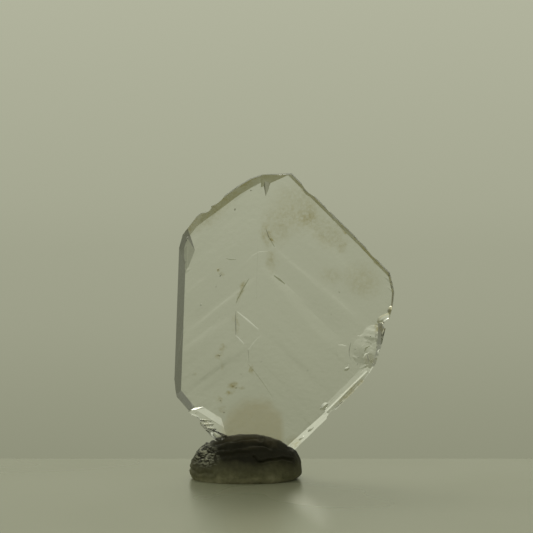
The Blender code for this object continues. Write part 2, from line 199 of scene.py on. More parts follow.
# How the faces of the solid are read.
SAME_PLACE = 1e-7  # corners nearer than this, in metres, are one
SAME_PLANE = 0.05  # faces that meet at less than this angle, in degrees, are one flat face
SMALLEST_FLAT = 0.35  # a smaller flat face, in square millimetres, is part of a break
SEAM_WALL_REACH = 0.20  # the low wall between the two plates is this near to the seam, in millimetres
SEAM_WALL_FACING = 0.1  # a seam wall faces the front or back less than this
PLATE_FACING = 0.985  # and a plate more than this
# Where the plates are, as y of the left and the right one at the front and at the back, in millimetres.
FRONTS, BACKS = (-1.20, -1.14), (1.20, 1.15)
SEAM_FLAT, SEAM_SPREAD = 0.3, 3.0  # the plates meet over this many millimetres beside the seam
MERGE_DISTANCE = 0.002  # corners that a cut makes nearer together than this, in millimetres, are one

# The growth lines that are cut into the mesh.
CUT_SEED = 11
CUT_SPREAD = (0.45, 1.55)  # shortest and longest step between two cuts, as a share of the mean
ACROSS_STEP = 1.3  # mean millimetres between the cuts across the lines

# Growth steps on the front, as (start, end, width, rise). Each is a soft riser along a line from start to end
# that faces right of its way, with a long gentle slope behind it. A negative rise faces left.
STEPS = (
    ((-11.4, 16.9), (-3.6, 23.1), 0.36, 0.050),
    ((-11.4, 15.3), (-5.2, 19.2), 0.32, 0.062),
    ((-11.4, 21.6), (-8.2, 24.0), 0.30, 0.030),
    ((-11.4, 10.2), (-4.0, 15.3), 0.36, -0.055),
    ((-10.6, 8.8), (-7.0, 12.0), 0.40, -0.032),
    ((-10.3, 26.6), (-7.4, 25.6), 0.30, 0.025),
    ((-8.4, 27.6), (-4.2, 30.9), 0.50, 0.022),
    ((-1.5, 26.9), (8.5, 18.7), 0.38, 0.036),
    ((-2.8, 25.0), (6.1, 15.3), 0.30, 0.026),
    ((-2.0, 24.7), (7.2, 14.9), 0.30, 0.030),
    ((-0.2, 21.9), (5.0, 15.6), 0.34, 0.030),
    ((-1.2, 16.5), (4.6, 10.4), 0.45, -0.026),
    ((1.5, 30.2), (9.6, 22.4), 0.60, 0.014),
)
STEP_SLOPE = 3.5  # how far behind a riser its height runs out, in millimetres
STEP_ENDS = 2.0  # how far from its ends a riser reaches its full height
STEP_WANDER, STEP_WANDER_GRAIN = 0.12, 0.4  # how far a riser strays from its line, and how often
STEP_SHARES = (0.75, 0.7, 0.6)  # its mean height, how much that changes along the line, and how often
# How often the broad bands and the narrow lines change along and across a crystal's axis, per millimetre.
BAND_GRAIN, LINE_GRAIN = (0.42, 0.035), (1.7, 0.09)
HILL_GRAIN, HILL_SHARE = 0.16, 0.8  # hills that pay no heed to the axis, as a share of the band relief
BACK_SEED, RIGHT_SEED, LINE_SEED, HILL_SEED = 7.0, 3.1, 1.7, 5.0
SEAM_FADE = 1.0  # the bands and lines fade out this near to the seam, in millimetres

# The breaks and worn edges.
BREAK_DIVISIONS = 2
SHORTEST_BREAK_EDGE = 0.15  # millimetres
BREAK_GRAINS = ((1.1, 1.0), (3.3, 0.6), (6.5, 0.5))  # how often the rings change, and their share of relief
WORN_ANGLE = 20.0  # edges sharper than this, in degrees, are worn
UNWORN_SIDE = -11.6  # left of this the edges are whole
WORN_LENGTHS = (4.0, 2.0, 1.0, 0.5)  # worn edges longer than this are halved, step by step
CHIP_GRAIN, CHIP_SEED = 1.3, Vector((9.0, 0.0, 4.0))
FINE_CHIP_GRAIN, FINE_CHIP_SHARE = 3.1, 0.35
BROKEN_CORNER, FLAT_CORNER = 34.0, 5.0  # corners sharper than this, in degrees, are not smoothed


def seam_x(z):
    """Where the seam is at a height, in metres."""
    share = (z / MM - SEAM_FOOT[1]) / (SEAM_TOP[1] - SEAM_FOOT[1])
    return (SEAM_FOOT[0] + share * (SEAM_TOP[0] - SEAM_FOOT[0])) * MM


def growth_axis(region):
    """Main axis of the left or right crystal, in the plate."""
    lean, half = radians(ROLL), radians(HALF_TWIN_ANGLE)
    turn = lean + half if region == RIGHT_PLATE else lean - half
    return Vector((sin(turn), 0.0, cos(turn)))


def growth_place(point, region):
    """Millimetres along and across a crystal's main axis."""
    offset = point / MM - Vector((GROWTH_BASE[0], 0.0, GROWTH_BASE[1]))
    axis = growth_axis(region)
    return offset.dot(axis), offset.dot(Vector((axis.z, 0.0, -axis.x)))


def sort_faces(bm, layer):
    """Marks each face as bevel, plate, seam wall or broken surface, which is made of many small facets."""
    planes = defaultdict(list)
    for face in bm.faces:
        normal = face.normal
        offset = normal.dot(face.calc_center_median()) / MM
        planes[tuple(round(part, 2) for part in normal) + (round(offset, 1),)].append(face)
    for faces in planes.values():
        area = sum(face.calc_area() for face in faces) / MM**2
        for face in faces:
            middle = face.calc_center_median()
            facing = abs(face.normal.y)
            away = middle.x - seam_x(middle.z)
            if facing < SEAM_WALL_FACING and abs(away) < SEAM_WALL_REACH * MM:
                face[layer] = SEAM_WALL
            elif area < SMALLEST_FLAT:
                face[layer] = BROKEN
            elif facing > PLATE_FACING:
                face[layer] = RIGHT_PLATE if away > 0 else LEFT_PLATE


def rule(bm, layer, region, point, normal):
    """Cuts the faces of one region, and the seam wall, along a plane, so that they get an edge there."""
    faces = [face for face in bm.faces if face[layer] in (region, SEAM_WALL)]
    edges = {edge for face in faces for edge in face.edges}
    verts = {vert for face in faces for vert in face.verts}
    geometry = [*verts, *edges, *faces]
    bmesh.ops.bisect_plane(bm, geom=geometry, dist=MERGE_DISTANCE * MM, plane_co=point * MM, plane_no=normal)


def rule_growth_lines(bm, layer, spacing):
    """Divides both plates along and across their growth lines."""
    rng = Random(CUT_SEED)
    base = Vector((GROWTH_BASE[0], 0.0, GROWTH_BASE[1]))
    for region in (LEFT_PLATE, RIGHT_PLATE):
        axis = growth_axis(region)
        across = Vector((axis.z, 0.0, -axis.x))
        corners = [vert.co for face in bm.faces if face[layer] == region for vert in face.verts]
        places = [growth_place(corner, region) for corner in corners]
        for direction, number, step in ((axis, 0, spacing), (across, 1, ACROSS_STEP)):
            lowest = min(place[number] for place in places)
            highest = max(place[number] for place in places)
            reach = lowest + step
            while reach < highest:
                rule(bm, layer, region, base + direction * reach, direction)
                reach += step * rng.uniform(*CUT_SPREAD)


def smooth(value):
    """0 below 0, 1 above 1 and smooth between."""
    value = min(1.0, max(0.0, value))
    return value * value * (3.0 - 2.0 * value)


def step_height(x, z):
    """Height of the growth steps at a place of the front, in millimetres."""
    mean, change, grain = STEP_SHARES
    total = 0.0
    for start, end, width, rise in STEPS:
        way = Vector((end[0] - start[0], end[1] - start[1]))
        length = way.length
        way /= length
        along = (x - start[0]) * way.x + (z - start[1]) * way.y
        aside = (z - start[1]) * way.x - (x - start[0]) * way.y
        aside += STEP_WANDER * noise.noise(Vector((along * STEP_WANDER_GRAIN, start[0], start[1])))
        if rise < 0:
            aside = -aside
        if not -width < aside < STEP_SLOPE:
            continue
        share = smooth(along / STEP_ENDS) * smooth((length - along) / STEP_ENDS)
        share *= mean + change * noise.noise(Vector((along * grain, start[1], start[0])))
        total += abs(rise) * share * smooth(aside / width + 0.5) * (1.0 - smooth(aside / STEP_SLOPE))
    return total


def growth_relief(point, region, settings):
    """Height of the growth bands and lines at a point of a plate. They run far across the axis."""
    along, across = growth_place(point, region)
    side = BACK_SEED if point.y > 0 else 0.0
    seed = side + (RIGHT_SEED if region == RIGHT_PLATE else 0.0)
    bands = noise.noise(Vector((along * BAND_GRAIN[0], across * BAND_GRAIN[1], seed)))
    lines = noise.noise(Vector((along * LINE_GRAIN[0], across * LINE_GRAIN[1], seed + LINE_SEED)))
    x, z = point.x / MM, point.z / MM
    hills = noise.noise(Vector((x * HILL_GRAIN, z * HILL_GRAIN, side + HILL_SEED)))
    steps = 0.0 if point.y > 0 else step_height(x, z) * MM
    off_seam = smooth(abs(point.x - seam_x(point.z)) / MM / SEAM_FADE)
    broad = settings.band_relief * (bands * off_seam + HILL_SHARE * hills)
    return steps + broad + settings.line_relief * lines * off_seam


def flatten_ledges(bm):
    """Takes away the solid's coarse growth ledges, which finer growth lines replace."""
    for vert in bm.verts:
        away = vert.co.x - seam_x(vert.co.z)
        for side, left, right in ((-1, *FRONTS), (1, *BACKS)):
            plate = right if away > SEAM_WALL_REACH * MM else left
            if vert.co.y * side > plate * side * MM:
                vert.co.y = plate * MM
    bmesh.ops.dissolve_degenerate(bm, dist=SAME_PLACE, edges=bm.edges)
    bmesh.ops.dissolve_limit(bm, angle_limit=radians(SAME_PLANE), verts=bm.verts, edges=bm.edges)
    bmesh.ops.dissolve_degenerate(bm, dist=SAME_PLACE, edges=bm.edges)
    bmesh.ops.delete(bm, geom=[edge for edge in bm.edges if edge.is_wire], context="EDGES")
    bm.normal_update()


def level_plates(bm):
    """Lowers the step between the two plates, so that they join softly at the seam."""
    for vert in bm.verts:
        away = (vert.co.x - seam_x(vert.co.z)) / MM
        for side, left, right in ((-1, *FRONTS), (1, *BACKS)):
            plate = (right if away > 0 else left) * MM
            if vert.co.y * side < plate * side - SAME_PLACE:
                continue
            middle = (left + right) / 2 * MM
            vert.co.y = middle + (plate - middle) * smooth((abs(away) - SEAM_FLAT) / SEAM_SPREAD)


def merge_seam(bm):
    """Joins the two plates where the wall between them was lowered to nothing."""
    near = [vert for vert in bm.verts if abs(vert.co.x - seam_x(vert.co.z)) < SEAM_WALL_REACH * MM]
    bmesh.ops.remove_doubles(bm, verts=near, dist=MERGE_DISTANCE * MM)


def raise_growth_lines(bm, layer, settings):
    for vert in bm.verts:
        if any(face[layer] in (LEFT_PLATE, RIGHT_PLATE) for face in vert.link_faces):
            region = RIGHT_PLATE if vert.co.x > seam_x(vert.co.z) else LEFT_PLATE
            side = 1.0 if vert.co.y > 0 else -1.0
            vert.co.y += side * growth_relief(vert.co, region, settings)


def push(moves):
    """Moves corners along their normals. moves has a distance for each, worked out before the first moves."""
    for vert, step in [(vert, vert.normal * distance) for vert, distance in moves.items()]:
        vert.co += step


def roughen_breaks(bm, layer, relief):
    """Divides the broken faces and gives them the fine rings and hackles of a glassy break."""
    for _ in range(BREAK_DIVISIONS):
        edges = {edge for face in bm.faces if face[layer] == BROKEN for edge in face.edges}
        edges = [edge for edge in edges if edge.calc_length() > SHORTEST_BREAK_EDGE * MM]
        bmesh.ops.subdivide_edges(bm, edges=edges, cuts=1, use_grid_fill=True)
    bm.normal_update()
    inside = [vert for vert in bm.verts if all(face[layer] == BROKEN for face in vert.link_faces)]
    push({
        vert: relief * sum(share * noise.noise(vert.co / MM * grain) for grain, share in BREAK_GRAINS)
        for vert in inside
    })


def wear_edges(bm, layer, depth):
    """Small chips along the bevels' edges."""
    sharp = []
    for edge in bm.edges:
        kinds = {face[layer] for face in edge.link_faces}
        worn_side = min(vert.co.x for vert in edge.verts) > UNWORN_SIDE * MM
        if worn_side and edge.is_manifold and BEVEL in kinds and BROKEN not in kinds:
            if edge.calc_face_angle() > radians(WORN_ANGLE):
                sharp.append(edge)
    for length in WORN_LENGTHS:
        long_ones = [edge for edge in sharp if edge.is_valid and edge.calc_length() > length * MM]
        made = bmesh.ops.subdivide_edges(bm, edges=long_ones, cuts=1)
        inner = [part for part in made["geom_split"] if isinstance(part, bmesh.types.BMEdge)]
        sharp = list({*[edge for edge in sharp if edge.is_valid], *inner})
    bm.normal_update()
    chips = {}
    for vert in {vert for edge in sharp if edge.is_valid for vert in edge.verts}:
        place = vert.co / MM
        chip = max(0.0, noise.noise(place * CHIP_GRAIN + CHIP_SEED))
        chips[vert] = -depth * (chip + FINE_CHIP_SHARE * abs(noise.noise(place * FINE_CHIP_GRAIN)))
    push(chips)


# Cracks inside, as (line of (x, z) points, front and back depth, sideways lean, gap). Each is a thin sheet of
# air between front and back that leans, so it mirrors what lies above, below or beside the crystal.
CRACKS = (
    (((-4.01, 23.14), (-4.58, 22.22), (-5.27, 20.85), (-5.50, 20.28)), (-0.9, 0.2), (0.14, -0.08), 0.02),
    (((-5.50, 19.36), (-5.56, 18.3), (-5.54, 17.30), (-5.50, 16.61)), (-1.0, 0.1), (-0.16, 0.02), 0.02),
    (((-5.50, 16.61), (-5.1, 16.15), (-4.58, 15.58)), (-0.8, 0.3), (0.07, 0.09), 0.03),
    (((-5.38, 19.36), (-4.2, 18.4), (-2.92, 17.30)), (-1.0, 0.4), (0.07, 0.11), 0.03),
    (((-2.41, 16.78), (-3.32, 15.92), (-4.12, 14.89), (-4.01, 13.35)), (-0.2, 0.8), (-0.10, -0.06), 0.02),
    (((-4.24, 13.40), (-3.44, 12.49), (-2.52, 11.27), (-1.26, 9.39)), (-0.6, 0.3), (-0.08, -0.08), 0.02),
    (((-1.15, 23.48), (-0.52, 23.02), (0.14, 22.51)), (-0.8, 0.1), (-0.14, -0.20), 0.02),
    (((-2.1, 28.8), (-1.72, 27.84), (-1.09, 26.76)), (-0.5, 0.4), (-0.12, -0.05), 0.02),
    (((-6.64, 25.43), (-6.1, 25.30), (-5.50, 25.32)), (-0.9, -0.3), (0.0, -0.12), 0.02),
    (((-4.35, 24.97), (-3.67, 25.72), (-2.92, 26.16), (-1.83, 26.23)), (-0.2, 0.3), (0.0, 0.03), 0.01),
    (((-2.99, 27.7), (-3.05, 25.4), (-3.10, 23.2), (-3.16, 21.0)), (-0.3, 0.1), (-0.03, 0.0), 0.01),
    (((6.19, 15.46), (6.7, 15.5), (7.22, 15.35)), (-0.3, 0.1), (0.0, 0.05), 0.01),
    (((7.62, 15.69), (7.47, 14.89), (7.50, 14.32), (7.62, 13.80)), (-0.5, 0.5), (0.14, -0.04), 0.02),
    (((5.96, 14.89), (6.19, 13.97), (6.76, 13.40)), (-0.3, 0.1), (-0.02, -0.02), 0.01),
    (((9.16, 14.66), (9.40, 15.15), (9.80, 15.40)), (-0.4, 0.4), (0.16, -0.12), 0.02),
    (((9.45, 14.25), (9.62, 13.85), (9.68, 13.40)), (-0.4, 0.4), (0.16, -0.05), 0.02),
    (((9.0, 14.0), (9.3, 14.4), (9.7, 14.6)), (-0.4, 0.1), (-0.04, 0.08), 0.02),
    (((9.25, 16.8), (9.22, 16.3), (9.45, 15.9)), (-0.3, 0.1), (-0.04, 0.06), 0.02),
)
CRACK_TAPER = (0.35, 0.3)  # how soon a crack grows narrow toward its ends
CRACK_WOBBLE, CRACK_WOBBLE_GRAIN = 0.05, 2.0


def close_hollow(bm, layer, faces):
    """Turns faces inward, as the wall of a hollow in the crystal."""
    bmesh.ops.reverse_faces(bm, faces=faces)
    for face in faces:
        face[layer] = BROKEN


def add_crack(bm, layer, line, depths, lean, gap):
    """A closed thin hollow: a sheet of air."""
    count = len(line)
    lean_way = Vector((lean[0], 0.0, lean[1]))
    rings = []
    for number, (x, z) in enumerate(line):
        share = sin(pi * (number + CRACK_TAPER[0]) / (count - CRACK_TAPER[1]))
        after, before = Vector(line[min(number + 1, count - 1)]), Vector(line[max(number - 1, 0)])
        along = (after - before).normalized()
        aside = Vector((-along.y, 0.0, along.x))
        middle = Vector((x, (depths[0] + depths[1]) / 2, z))
        reach = Vector((0.0, (depths[1] - depths[0]) / 2, 0.0)) + lean_way / 2
        wobble = aside * CRACK_WOBBLE * noise.noise(middle * CRACK_WOBBLE_GRAIN)
        corners = (-reach * share, aside * gap / 2 * share, reach * share, -aside * gap / 2 * share)
        rings.append([bm.verts.new((middle + wobble + corner) * MM) for corner in corners])
    faces = [
        bm.faces.new((first[i], first[(i + 1) % 4], second[(i + 1) % 4], second[i]))
        for first, second in zip(rings, rings[1:])
        for i in range(4)
    ]
    faces += [bm.faces.new(rings[0]), bm.faces.new(rings[-1])]
    bmesh.ops.recalc_face_normals(bm, faces=faces)
    close_hollow(bm, layer, faces)


# Small hollows and specks inside, as (x, y, z, radius).
SPECKS = (
    (-7.56, -1.0, 24.17, 0.10),
    (-7.26, -0.9, 23.60, 0.12),
    (-7.79, -1.0, 22.22, 0.08),
    (-9.51, -0.8, 20.10, 0.09),
    (-10.42, -0.9, 12.03, 0.10),
    (-5.85, -0.8, 10.85, 0.15),
    (-5.50, -0.6, 10.60, 0.12),
    (-7.33, -0.6, 9.16, 0.10),
    (-6.87, -0.7, 7.79, 0.12),
    (-3.13, -0.9, 20.96, 0.07),
    (-7.45, -0.8, 14.32, 0.13),
    (-5.61, -1.0, 31.07, 0.13),
    (-3.78, -1.0, 33.22, 0.10),
    (-7.30, -1.0, 23.45, 0.11),
    (-4.90, -1.0, 12.20, 0.08),
    (-2.60, -0.9, 13.60, 0.09),
    (0.90, -1.0, 17.10, 0.07),
    (2.70, -1.0, 12.60, 0.08),
    (5.40, -1.0, 19.00, 0.07),
    (6.30, -1.0, 21.60, 0.09),
    (8.10, -0.5, 15.00, 0.08),
    (8.50, -0.4, 14.10, 0.10),
    (9.90, -0.4, 16.50, 0.12),
    (8.90, -0.4, 16.00, 0.08),
    (9.30, -0.4, 13.10, 0.10),
    (8.40, -0.5, 13.30, 0.08),
)
SPECK_SQUASH = Matrix.Diagonal((1.0, 0.5, 0.7, 1.0))
SPECK_UNEVENNESS, SPECK_GRAIN = 0.5, 6.0


def add_speck(bm, layer, x, y, z, radius):
    """A closed uneven hollow. Each one is turned by another angle."""
    middle = Vector((x, y, z)) * MM
    turned = Matrix.Translation(middle) @ Matrix.Rotation(x * z, 4, "Y") @ SPECK_SQUASH
    made = bmesh.ops.create_icosphere(bm, subdivisions=2, radius=radius * MM, matrix=turned)["verts"]
    for vert in made:
        vert.co += (vert.co - middle) * SPECK_UNEVENNESS * noise.noise(vert.co / MM * SPECK_GRAIN)
    close_hollow(bm, layer, list({face for vert in made for face in vert.link_faces}))


def mark_sharp(bm, layer):
    """Smooth over broken surfaces, sharp between flat faces."""
    for face in bm.faces:
        face.smooth = True
    for edge in bm.edges:
        if edge.is_manifold:
            kinds = {face[layer] for face in edge.link_faces}
            limit = BROKEN_CORNER if kinds == {BROKEN} else FLAT_CORNER
            edge.smooth = edge.calc_face_angle() < radians(limit)


# Stained patches, as (x, z, half width, half height, strength, turn in degrees from +X toward +Z).
STAINS = (
    (1.4, 31.0, 4.4, 3.6, 0.55, 0),
    (2.6, 30.0, 2.4, 2.0, 0.75, -40),
    (5.0, 28.4, 3.6, 2.2, 0.50, -42),
    (-0.6, 29.4, 2.6, 3.4, 0.50, 0),
    (-1.9, 28.2, 1.0, 2.0, 0.80, 15),
    (6.6, 26.8, 1.1, 0.9, 0.6, 0),
    (9.0, 22.9, 3.2, 2.6, 0.45, -30),
    (5.3, 23.4, 1.8, 1.4, 0.40, 0),
    (-1.4, 25.0, 1.1, 1.6, 0.55, 0),
    (-8.8, 30.4, 4.8, 1.6, 0.45, 36),
    (-10.6, 29.4, 1.5, 0.8, 2.6, 53),
    (-8.2, 32.0, 3.2, 0.7, 1.7, 36),
    (-4.3, 34.4, 2.4, 0.8, 2.6, 22),
    (3.2, 32.9, 3.8, 0.7, 1.8, -45),
    (7.4, 28.8, 3.6, 0.7, 2.0, -45),
    (11.2, 24.9, 2.4, 0.7, 2.2, -48),
    (-7.50, 14.3, 0.60, 0.55, 0.8, 30),
    (-7.05, 15.3, 0.50, 0.40, 0.7, 0),
    (-7.10, 12.9, 0.30, 0.70, 0.6, 0),
    (-10.3, 12.1, 0.40, 0.40, 0.7, 0),
    (-5.90, 10.8, 0.60, 0.55, 1.4, 0),
    (-5.05, 10.5, 0.50, 0.35, 0.9, 20),
    (-6.20, 9.95, 0.50, 0.35, 1.0, 0),
    (-7.40, 9.2, 0.75, 0.45, 0.8, -30),
    (-7.00, 7.9, 0.60, 0.60, 0.7, -40),
    (-3.70, 12.7, 0.70, 0.35, 1.0, -50),
    (-7.50, 24.1, 0.35, 0.35, 1.3, 0),
    (-7.20, 23.5, 0.35, 0.30, 1.0, 0),
    (-4.90, 21.6, 0.35, 1.6, 0.8, -25),
    (-5.55, 18.0, 0.32, 1.6, 0.7, 0),
    (-1.50, 27.5, 0.35, 1.2, 1.1, 35),
    (1.10, 4.2, 1.0, 0.9, 0.8, 0),
    (-9.00, 6.3, 0.9, 0.9, 0.4, 0),
    (7.55, 9.9, 2.8, 0.65, 0.95, 46),
    (8.80, 11.0, 0.9, 0.6, 1.2, 46),
    (11.0, 17.4, 0.7, 0.9, 1.8, 0),
    (9.90, 13.7, 0.9, 1.2, 0.4, 60),
)
STAIN_CORE = 0.15  # share of a patch's reach that is full
VEIL = (-3.3, 3.9, 4.6, 6.1, 1.0)  # the milky patch, as a stained one
VEIL_CORE = 0.72
VEIL_EDGE = (-0.45, 0.20)  # x between which the veil ends at the right
VEIL_ROUGHNESS = 0.20
# Patterns of the quartz's surface, with sizes in millimetres. The levels say where a noise starts and is
# full, and what it gives there.
LINE_SIZES = (5.0, 1.0, 0.30)  # across the axis, through the plate and along the axis
LINE_HEIGHT = 0.25  # of the growth lines against the pits
PIT_SIZE = 0.55
BUMP_HEIGHT = 0.009
DRIFT_SIZE, DRIFT = 0.9, 1.6  # how often and how far the patches' outlines wander
SPECK_SIZE, SPECK_LEVELS = 0.34, (0.36, 0.68, 0.18, 1.0)
CROWD_SIZE, CROWD_LEVELS = 2.4, (0.36, 0.62, 0.55, 1.1)
CLOUD_LEVELS = (0.35, 0.65, 0.70, 1.05)
BEVEL_FACING = (0.86, 0.94, 1.0, 0.0)  # from a bevel to a plate
BEVEL_HEIGHTS, BEVEL_LEAN = (21.5, 23.5), 0.5  # the bevels' stain starts here, plus this share of x
BEVEL_PATCHES, BEVEL_SPECKS = (0.35, 0.65, 0.45, 1.0), (0.35, 0.65, 0.75, 1.15)
BODY_COLOUR, BODY_DENSITY = "#E8E8DE", 25.0  # what the clear body takes away, per metre


def spot(add, coords, x, z, half_width, half_height, strength, turn=0.0, core=STAIN_CORE):
    """1 in a patch's core and 0 outside, times its strength."""
    place = add(
        "Mapping",
        {
            "Vector": coords,
            "Location": (x * MM, 0.0, z * MM),
            "Rotation": (0.0, radians(-turn), 0.0),
            "Scale": (half_width * MM, 1.0, half_height * MM),
        },
        vector_type="TEXTURE",
    )
    length = add("VectorMath", [place], operation="LENGTH", out="Value")
    return add("MapRange", [length, core, 1.0, strength, 0.0], interpolation_type="SMOOTHSTEP")


def bevel_stain(add, place, patches, specks):
    """How stained the bevels along the top edges are."""
    normal = add("TexCoord", out="Normal")
    facing = add("SeparateXYZ", [normal], out=None)
    facing = add("Math", [facing.outputs["Y"]], operation="ABSOLUTE")
    bevel = add("MapRange", [facing, *BEVEL_FACING])
    level = add("Math", [place.outputs["X"], BEVEL_LEAN, place.outputs["Z"]], operation="MULTIPLY_ADD")
    upper = add("MapRange", [level, *(height * MM for height in BEVEL_HEIGHTS)])
    share = add("MapRange", [patches, *BEVEL_PATCHES])
    fine = add("MapRange", [specks, *BEVEL_SPECKS])
    for factor in (fine, bevel, upper):
        share = add("Math", [share, factor], operation="MULTIPLY")
    return share


def growth_bump(add, coords, place):
    """Normal of growth lines 0.3 mm apart and 5 mm long, coarser than the finest real ones so that they show,
    over shallow pits 0.3 mm across."""
    slope = (SEAM_TOP[0] - SEAM_FOOT[0]) / (SEAM_TOP[1] - SEAM_FOOT[1])
    across = add("Math", [place.outputs["Z"], -slope, place.outputs["X"]], operation="MULTIPLY_ADD")
    right = add("Math", [across, SEAM_FOOT[0] * MM], operation="GREATER_THAN")
    lean, half = radians(ROLL), radians(HALF_TWIN_ANGLE)
    turned = [
        add("VectorRotate", {"Vector": coords, "Angle": angle}, rotation_type="Y_AXIS")
        for angle in (half - lean, -half - lean)
    ]
    growth = add("Mix", {0: right, 4: turned[0], 5: turned[1]}, data_type="VECTOR", out=1)
    often = tuple(1 / (size * MM) for size in LINE_SIZES)
    stretched = add("VectorMath", [growth, often], operation="MULTIPLY")
    lines = add("TexNoise", {"Vector": stretched, "Scale": 1.0, "Detail": 2.0}, out="Fac")
    off_seam = add("Math", [across, -SEAM_FOOT[0] * MM], operation="ADD")
    off_seam = add("Math", [off_seam], operation="ABSOLUTE")
    share = add("MapRange", [off_seam, 0.0, SEAM_FADE * MM, 0.0, LINE_HEIGHT])
    pits = add("TexNoise", {"Vector": coords, "Scale": 1 / (PIT_SIZE * MM), "Detail": 3.0}, out="Fac")
    heights = add("Math", [lines, share, pits], operation="MULTIPLY_ADD")
    return add("Bump", {"Height": heights, "Distance": BUMP_HEIGHT * MM, "Strength": 1.0})


def quartz_material(settings):
    """Rock crystal with natural growth faces: clear and colourless, nearly polished, with fine growth lines
    in two directions, iron stains in the surface and a milky patch of tiny inclusions at the foot."""
    material, add, shader = new_material("Rock crystal, natural growth faces")
    coords = add("TexCoord", out="Object")
    place = add("SeparateXYZ", [coords], out=None)
    feed(shader, {"Normal": growth_bump(add, coords, place)})

    drift = add("TexNoise", {"Vector": coords, "Scale": 1 / (DRIFT_SIZE * MM), "Detail": 2.0}, out=None)
    drift = add("VectorMath", [drift.outputs["Color"], (-0.5, -0.5, -0.5)], operation="ADD")
    drifted = add(
        "VectorMath", [drift, (DRIFT * MM, DRIFT * MM, DRIFT * MM), coords], operation="MULTIPLY_ADD"
    )
    stain = None
    for patch in STAINS:
        value = spot(add, drifted, *patch)
        if stain is not None:
            value = add("Math", [stain, value], operation="MAXIMUM")
        stain = value
    # Stains sit in specks 0.2 mm across, closer together in patches 1.2 mm across.
    fine = {"Vector": coords, "Scale": 1 / (SPECK_SIZE * MM), "Detail": 3.0, "Roughness": 0.6}
    specks = add("TexNoise", fine, out="Fac")
    grains = add("MapRange", [specks, *SPECK_LEVELS])
    patches = add("TexNoise", {"Vector": coords, "Scale": 1 / (CROWD_SIZE * MM), "Detail": 2.0}, out="Fac")
    crowded = add("MapRange", [patches, *CROWD_LEVELS])
    grains = add("Math", [grains, crowded], operation="MULTIPLY")
    stain = add("Math", [stain, grains], operation="MULTIPLY")
    rim = bevel_stain(add, place, patches, specks)
    stain = add("Math", [stain, rim], operation="MAXIMUM")
    stained = add(
        "Mix",
        {0: stain, 6: (*settings.clear_colour, 1.0), 7: (*settings.stain_colour, 1.0)},
        data_type="RGBA",
        out=2,
    )

    veil = spot(add, drifted, *VEIL, core=VEIL_CORE)
    edge = add("MapRange", [place.outputs["X"], VEIL_EDGE[0] * MM, VEIL_EDGE[1] * MM, 1.0, 0.0])
    veil = add("Math", [veil, edge], operation="MULTIPLY")
    cloudy = add("MapRange", [specks, *CLOUD_LEVELS])
    veil = add("Math", [veil, cloudy], operation="MULTIPLY")
    colour = add("Mix", {0: veil, 6: stained, 7: (*settings.veil_colour, 1.0)}, data_type="RGBA", out=2)
    rough = add("MapRange", [veil, 0.0, 1.0, settings.polish, VEIL_ROUGHNESS])
    feed(shader, {"Base Color": colour, "Roughness": rough, "Transmission Weight": 1.0, "IOR": settings.ior})
    body = add("VolumeAbsorption", {"Color": (*linear(BODY_COLOUR), 1.0), "Density": BODY_DENSITY})
    feed(material.node_tree.nodes["Material Output"], {"Volume": body})
    return material


class JAPANLAW_OT_quartz(bpy.types.Operator):
    """Build the clear quartz twin with its growth lines, breaks and inner cracks"""

    bl_idname = "japanlaw.quartz"
    bl_label = "Quartz twin"

    def execute(self, context):
        settings = context.scene.japanlaw_quartz
        bm = bmesh.new()
        bm.from_mesh(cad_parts["twin_crystal"].data)
        bmesh.ops.remove_doubles(bm, verts=bm.verts, dist=SAME_PLACE)
        flatten_ledges(bm)
        layer = bm.faces.layers.int.new("kind")
        sort_faces(bm, layer)
        rule_growth_lines(bm, layer, settings.line_spacing / MM)
        level_plates(bm)
        merge_seam(bm)
        roughen_breaks(bm, layer, settings.break_relief)
        raise_growth_lines(bm, layer, settings)
        wear_edges(bm, layer, settings.edge_wear)
        bmesh.ops.triangulate(bm, faces=[face for face in bm.faces if len(face.verts) > 4])
        for crack in CRACKS:
            add_crack(bm, layer, *crack)
        for speck in SPECKS:
            add_speck(bm, layer, *speck)
        bm.normal_update()
        mark_sharp(bm, layer)
        bm.faces.layers.int.remove(layer)
        piece = new_piece("quartz_twin", bm, quartz_material(settings))
        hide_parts("twin_crystal")
        return {"FINISHED"}


# ---------------------------------------------------------------------------------------------- putty

# The lump, in millimetres. Below its widest height it reaches deeper at the left than at the right, and its
# flat underside cuts that off.
LUMP_CENTRE = (-4.36, 0.0)
LUMP_HALF_WIDTH, LUMP_HALF_DEPTH = 6.50, 4.75
LUMP_GIRTH_HEIGHT = 0.85
LUMP_TOP = 5.05
LUMP_BELOW_LEFT, LUMP_BELOW_RIGHT = 2.6, 1.35
LUMP_SWELL_LEFT, LUMP_SWELL_RIGHT = 2.05, 2.25  # exponents: 2 is an ellipsoid, more is boxier
# Unevenness, as (height, how often it changes per millimetre).
LUMP_UNEVENNESS = ((0.16, 0.45), (0.05, 1.3))
FINE_UNEVENNESS = ((0.012, 4.0), (0.006, 9.0))
# Kneading layers near the top: height, radians per millimetre, how far they drop toward the right, how far
# they wander, and how often they wander and fade.
LAYER_HEIGHT, LAYER_PITCH, LAYER_DROP, LAYER_WANDER = 0.035, 9.0, 0.12, 0.4
LAYER_WANDER_GRAIN, LAYER_FADE_GRAIN = 0.7, 0.5
LAYERS_FROM, LAYERS_FULL = 2.0, 4.0
